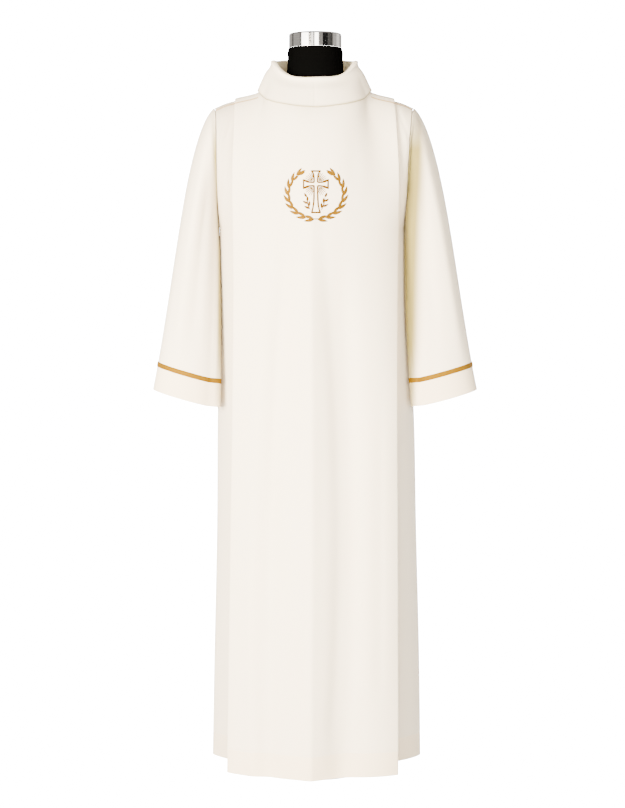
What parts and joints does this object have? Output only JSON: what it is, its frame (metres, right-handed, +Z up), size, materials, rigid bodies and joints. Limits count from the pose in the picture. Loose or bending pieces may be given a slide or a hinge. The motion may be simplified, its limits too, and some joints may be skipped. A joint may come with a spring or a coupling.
{
  "type": "alb on a limbless dress form",
  "caption": "Long ivory alb with a turned-over band collar, pleated panel and gold cuff braid, standing on a black limbless dress form.",
  "frame": {"origin": "middle of the underside of the form's round base plate, on the floor", "axes": "+Z up, -Y the front of the alb, +X the right of someone looking at the front"},
  "size_m": [0.6727, 0.395, 1.5392],
  "materials": {
    "cloth": "ivory polyester and wool twill, matt with a faint sheen",
    "braid": "narrow gold twill braid",
    "form": "black jersey over a smooth shell",
    "cap": "polished chrome",
    "stand": "black enamel"
  },
  "bodies": {
    "root": {"alb_front": "cloth", "alb_back": "cloth", "sleeve_left": "cloth", "sleeve_right": "cloth", "collar": "cloth", "cuff_braid_left": "braid", "cuff_braid_right": "braid", "form_torso": "form", "form_neck_cap": "cap", "form_pole": "stand", "form_base": "stand"}
  },
  "joints": []
}
